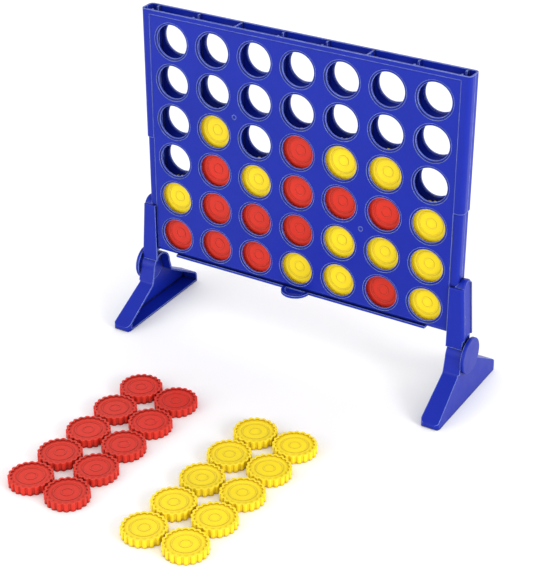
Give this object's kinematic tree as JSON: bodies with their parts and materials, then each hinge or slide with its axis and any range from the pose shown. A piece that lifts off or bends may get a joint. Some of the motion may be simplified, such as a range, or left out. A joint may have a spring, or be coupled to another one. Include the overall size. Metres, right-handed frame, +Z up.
{
  "type": "giant four in a row",
  "caption": "Upright lawn game rack with a grid of round holes on two folding feet, a sliding release bar, and red and yellow scalloped discs in the rack and on the ground.",
  "frame": {"origin": "on the ground, at the centre of the footprint of the rack and its loose discs", "axes": "+X along the rack to the players' right, +Y from the players' front to the back through the rack, +Z up"},
  "size_m": [0.6046, 0.6729, 0.536],
  "materials": {
    "blue_plastic": "moulded, softly glossy",
    "red_plastic": "moulded, softly glossy",
    "yellow_plastic": "moulded, softly glossy"
  },
  "bodies": {
    "rack": {"front_panel": "blue_plastic", "rear_panel": "blue_plastic", "panel_pegs": "blue_plastic", "left_bracket": "blue_plastic", "right_bracket": "blue_plastic"},
    "release_bar": {"release_bar": "blue_plastic"},
    "left_foot": {"left_foot": "blue_plastic", "left_hub_cap": "blue_plastic", "left_pivot_pin": "blue_plastic"},
    "right_foot": {"right_foot": "blue_plastic", "right_hub_cap": "blue_plastic", "right_pivot_pin": "blue_plastic"},
    "red_disc_c1_r1": {"red_disc_c1_r1": "red_plastic"},
    "yellow_disc_c1_r2": {"yellow_disc_c1_r2": "yellow_plastic"},
    "red_disc_c2_r1": {"red_disc_c2_r1": "red_plastic"},
    "red_disc_c2_r2": {"red_disc_c2_r2": "red_plastic"},
    "red_disc_c2_r3": {"red_disc_c2_r3": "red_plastic"},
    "yellow_disc_c2_r4": {"yellow_disc_c2_r4": "yellow_plastic"},
    "red_disc_c3_r1": {"red_disc_c3_r1": "red_plastic"},
    "red_disc_c3_r2": {"red_disc_c3_r2": "red_plastic"},
    "yellow_disc_c3_r3": {"yellow_disc_c3_r3": "yellow_plastic"},
    "yellow_disc_c4_r1": {"yellow_disc_c4_r1": "yellow_plastic"},
    "red_disc_c4_r2": {"red_disc_c4_r2": "red_plastic"},
    "red_disc_c4_r3": {"red_disc_c4_r3": "red_plastic"},
    "red_disc_c4_r4": {"red_disc_c4_r4": "red_plastic"},
    "yellow_disc_c5_r1": {"yellow_disc_c5_r1": "yellow_plastic"},
    "yellow_disc_c5_r2": {"yellow_disc_c5_r2": "yellow_plastic"},
    "red_disc_c5_r3": {"red_disc_c5_r3": "red_plastic"},
    "yellow_disc_c5_r4": {"yellow_disc_c5_r4": "yellow_plastic"},
    "red_disc_c6_r1": {"red_disc_c6_r1": "red_plastic"},
    "yellow_disc_c6_r2": {"yellow_disc_c6_r2": "yellow_plastic"},
    "red_disc_c6_r3": {"red_disc_c6_r3": "red_plastic"},
    "yellow_disc_c6_r4": {"yellow_disc_c6_r4": "yellow_plastic"},
    "yellow_disc_c7_r1": {"yellow_disc_c7_r1": "yellow_plastic"},
    "yellow_disc_c7_r2": {"yellow_disc_c7_r2": "yellow_plastic"},
    "yellow_disc_c7_r3": {"yellow_disc_c7_r3": "yellow_plastic"},
    "red_spare_01": {"red_spare_01": "red_plastic"},
    "red_spare_02": {"red_spare_02": "red_plastic"},
    "red_spare_03": {"red_spare_03": "red_plastic"},
    "red_spare_04": {"red_spare_04": "red_plastic"},
    "red_spare_05": {"red_spare_05": "red_plastic"},
    "red_spare_06": {"red_spare_06": "red_plastic"},
    "red_spare_07": {"red_spare_07": "red_plastic"},
    "red_spare_08": {"red_spare_08": "red_plastic"},
    "red_spare_09": {"red_spare_09": "red_plastic"},
    "red_spare_10": {"red_spare_10": "red_plastic"},
    "yellow_spare_01": {"yellow_spare_01": "yellow_plastic"},
    "yellow_spare_02": {"yellow_spare_02": "yellow_plastic"},
    "yellow_spare_03": {"yellow_spare_03": "yellow_plastic"},
    "yellow_spare_04": {"yellow_spare_04": "yellow_plastic"},
    "yellow_spare_05": {"yellow_spare_05": "yellow_plastic"},
    "yellow_spare_06": {"yellow_spare_06": "yellow_plastic"},
    "yellow_spare_07": {"yellow_spare_07": "yellow_plastic"},
    "yellow_spare_08": {"yellow_spare_08": "yellow_plastic"},
    "yellow_spare_09": {"yellow_spare_09": "yellow_plastic"},
    "yellow_spare_10": {"yellow_spare_10": "yellow_plastic"}
  },
  "joints": [
    {"name": "bar_slide", "type": "slide", "parent": "rack", "child": "release_bar", "axis": [1, 0, 0], "range_m": [-0.0375, 0.0375]},
    {"name": "foot_left_fold", "type": "hinge", "parent": "rack", "child": "left_foot", "pos_m": [-0.28, 0.2319, 0.0795], "axis": [1, 0, 0], "range_deg": [0, 90]},
    {"name": "foot_right_fold", "type": "hinge", "parent": "rack", "child": "right_foot", "pos_m": [0.28, 0.2319, 0.0795], "axis": [1, 0, 0], "range_deg": [0, 90]},
    {"name": "lift_c1_r1", "type": "slide", "parent": "rack", "child": "red_disc_c1_r1", "axis": [0, 0, 1], "range_m": [0, 0.42]},
    {"name": "lift_c1_r2", "type": "slide", "parent": "red_disc_c1_r1", "child": "yellow_disc_c1_r2", "axis": [0, 0, 1], "range_m": [0, 0.3528]},
    {"name": "lift_c2_r1", "type": "slide", "parent": "rack", "child": "red_disc_c2_r1", "axis": [0, 0, 1], "range_m": [0, 0.42]},
    {"name": "lift_c2_r2", "type": "slide", "parent": "red_disc_c2_r1", "child": "red_disc_c2_r2", "axis": [0, 0, 1], "range_m": [0, 0.3528]},
    {"name": "lift_c2_r3", "type": "slide", "parent": "red_disc_c2_r2", "child": "red_disc_c2_r3", "axis": [0, 0, 1], "range_m": [0, 0.2856]},
    {"name": "lift_c2_r4", "type": "slide", "parent": "red_disc_c2_r3", "child": "yellow_disc_c2_r4", "axis": [0, 0, 1], "range_m": [0, 0.2184]},
    {"name": "lift_c3_r1", "type": "slide", "parent": "rack", "child": "red_disc_c3_r1", "axis": [0, 0, 1], "range_m": [0, 0.42]},
    {"name": "lift_c3_r2", "type": "slide", "parent": "red_disc_c3_r1", "child": "red_disc_c3_r2", "axis": [0, 0, 1], "range_m": [0, 0.3528]},
    {"name": "lift_c3_r3", "type": "slide", "parent": "red_disc_c3_r2", "child": "yellow_disc_c3_r3", "axis": [0, 0, 1], "range_m": [0, 0.2856]},
    {"name": "lift_c4_r1", "type": "slide", "parent": "rack", "child": "yellow_disc_c4_r1", "axis": [0, 0, 1], "range_m": [0, 0.42]},
    {"name": "lift_c4_r2", "type": "slide", "parent": "yellow_disc_c4_r1", "child": "red_disc_c4_r2", "axis": [0, 0, 1], "range_m": [0, 0.3528]},
    {"name": "lift_c4_r3", "type": "slide", "parent": "red_disc_c4_r2", "child": "red_disc_c4_r3", "axis": [0, 0, 1], "range_m": [0, 0.2856]},
    {"name": "lift_c4_r4", "type": "slide", "parent": "red_disc_c4_r3", "child": "red_disc_c4_r4", "axis": [0, 0, 1], "range_m": [0, 0.2184]},
    {"name": "lift_c5_r1", "type": "slide", "parent": "rack", "child": "yellow_disc_c5_r1", "axis": [0, 0, 1], "range_m": [0, 0.42]},
    {"name": "lift_c5_r2", "type": "slide", "parent": "yellow_disc_c5_r1", "child": "yellow_disc_c5_r2", "axis": [0, 0, 1], "range_m": [0, 0.3528]},
    {"name": "lift_c5_r3", "type": "slide", "parent": "yellow_disc_c5_r2", "child": "red_disc_c5_r3", "axis": [0, 0, 1], "range_m": [0, 0.2856]},
    {"name": "lift_c5_r4", "type": "slide", "parent": "red_disc_c5_r3", "child": "yellow_disc_c5_r4", "axis": [0, 0, 1], "range_m": [0, 0.2184]},
    {"name": "lift_c6_r1", "type": "slide", "parent": "rack", "child": "red_disc_c6_r1", "axis": [0, 0, 1], "range_m": [0, 0.42]},
    {"name": "lift_c6_r2", "type": "slide", "parent": "red_disc_c6_r1", "child": "yellow_disc_c6_r2", "axis": [0, 0, 1], "range_m": [0, 0.3528]},
    {"name": "lift_c6_r3", "type": "slide", "parent": "yellow_disc_c6_r2", "child": "red_disc_c6_r3", "axis": [0, 0, 1], "range_m": [0, 0.2856]},
    {"name": "lift_c6_r4", "type": "slide", "parent": "red_disc_c6_r3", "child": "yellow_disc_c6_r4", "axis": [0, 0, 1], "range_m": [0, 0.2184]},
    {"name": "lift_c7_r1", "type": "slide", "parent": "rack", "child": "yellow_disc_c7_r1", "axis": [0, 0, 1], "range_m": [0, 0.42]},
    {"name": "lift_c7_r2", "type": "slide", "parent": "yellow_disc_c7_r1", "child": "yellow_disc_c7_r2", "axis": [0, 0, 1], "range_m": [0, 0.3528]},
    {"name": "lift_c7_r3", "type": "slide", "parent": "yellow_disc_c7_r2", "child": "yellow_disc_c7_r3", "axis": [0, 0, 1], "range_m": [0, 0.2856]},
    {"name": "pick_red_01", "type": "slide", "parent": "rack", "child": "red_spare_01", "axis": [0, 0, 1], "range_m": [0, 0.1]},
    {"name": "pick_red_02", "type": "slide", "parent": "rack", "child": "red_spare_02", "axis": [0, 0, 1], "range_m": [0, 0.1]},
    {"name": "pick_red_03", "type": "slide", "parent": "rack", "child": "red_spare_03", "axis": [0, 0, 1], "range_m": [0, 0.1]},
    {"name": "pick_red_04", "type": "slide", "parent": "rack", "child": "red_spare_04", "axis": [0, 0, 1], "range_m": [0, 0.1]},
    {"name": "pick_red_05", "type": "slide", "parent": "rack", "child": "red_spare_05", "axis": [0, 0, 1], "range_m": [0, 0.1]},
    {"name": "pick_red_06", "type": "slide", "parent": "rack", "child": "red_spare_06", "axis": [0, 0, 1], "range_m": [0, 0.1]},
    {"name": "pick_red_07", "type": "slide", "parent": "rack", "child": "red_spare_07", "axis": [0, 0, 1], "range_m": [0, 0.1]},
    {"name": "pick_red_08", "type": "slide", "parent": "rack", "child": "red_spare_08", "axis": [0, 0, 1], "range_m": [0, 0.1]},
    {"name": "pick_red_09", "type": "slide", "parent": "rack", "child": "red_spare_09", "axis": [0, 0, 1], "range_m": [0, 0.1]},
    {"name": "pick_red_10", "type": "slide", "parent": "rack", "child": "red_spare_10", "axis": [0, 0, 1], "range_m": [0, 0.1]},
    {"name": "pick_yellow_01", "type": "slide", "parent": "rack", "child": "yellow_spare_01", "axis": [0, 0, 1], "range_m": [0, 0.1]},
    {"name": "pick_yellow_02", "type": "slide", "parent": "rack", "child": "yellow_spare_02", "axis": [0, 0, 1], "range_m": [0, 0.1]},
    {"name": "pick_yellow_03", "type": "slide", "parent": "rack", "child": "yellow_spare_03", "axis": [0, 0, 1], "range_m": [0, 0.1]},
    {"name": "pick_yellow_04", "type": "slide", "parent": "rack", "child": "yellow_spare_04", "axis": [0, 0, 1], "range_m": [0, 0.1]},
    {"name": "pick_yellow_05", "type": "slide", "parent": "rack", "child": "yellow_spare_05", "axis": [0, 0, 1], "range_m": [0, 0.1]},
    {"name": "pick_yellow_06", "type": "slide", "parent": "rack", "child": "yellow_spare_06", "axis": [0, 0, 1], "range_m": [0, 0.1]},
    {"name": "pick_yellow_07", "type": "slide", "parent": "rack", "child": "yellow_spare_07", "axis": [0, 0, 1], "range_m": [0, 0.1]},
    {"name": "pick_yellow_08", "type": "slide", "parent": "rack", "child": "yellow_spare_08", "axis": [0, 0, 1], "range_m": [0, 0.1]},
    {"name": "pick_yellow_09", "type": "slide", "parent": "rack", "child": "yellow_spare_09", "axis": [0, 0, 1], "range_m": [0, 0.1]},
    {"name": "pick_yellow_10", "type": "slide", "parent": "rack", "child": "yellow_spare_10", "axis": [0, 0, 1], "range_m": [0, 0.1]}
  ]
}
